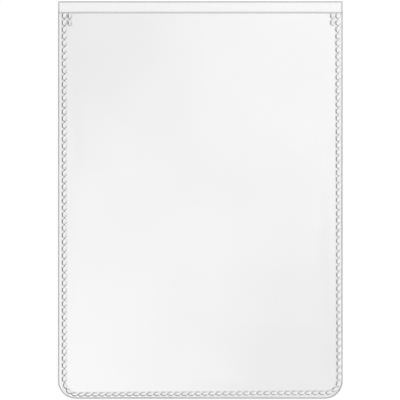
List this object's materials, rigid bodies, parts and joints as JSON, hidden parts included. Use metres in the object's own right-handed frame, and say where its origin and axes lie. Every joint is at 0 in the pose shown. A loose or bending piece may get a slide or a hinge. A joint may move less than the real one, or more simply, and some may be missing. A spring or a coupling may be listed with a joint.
{
  "type": "business card holder",
  "caption": "Clear flexible vinyl pocket for upright business cards, open along its short top edge, with beaded welds down both sides and along the rounded bottom.",
  "frame": {"origin": "middle of the rear face, in the plane that the pocket lies on", "axes": "+X across the pocket to its right-hand seam as seen from the front, +Y along its height to the open mouth, +Z out of the front film"},
  "size_m": [0.068, 0.095, 0.001],
  "materials": {
    "clear_film": "clear, glossy flexible PVC film",
    "weld": "clear fused PVC with embossed beads"
  },
  "bodies": {
    "root": {"back_film": "clear_film", "front_film": "clear_film", "left_seam": "weld", "bottom_seam": "weld", "right_seam": "weld", "left_mouth_tack": "weld", "right_mouth_tack": "weld"}
  },
  "joints": []
}
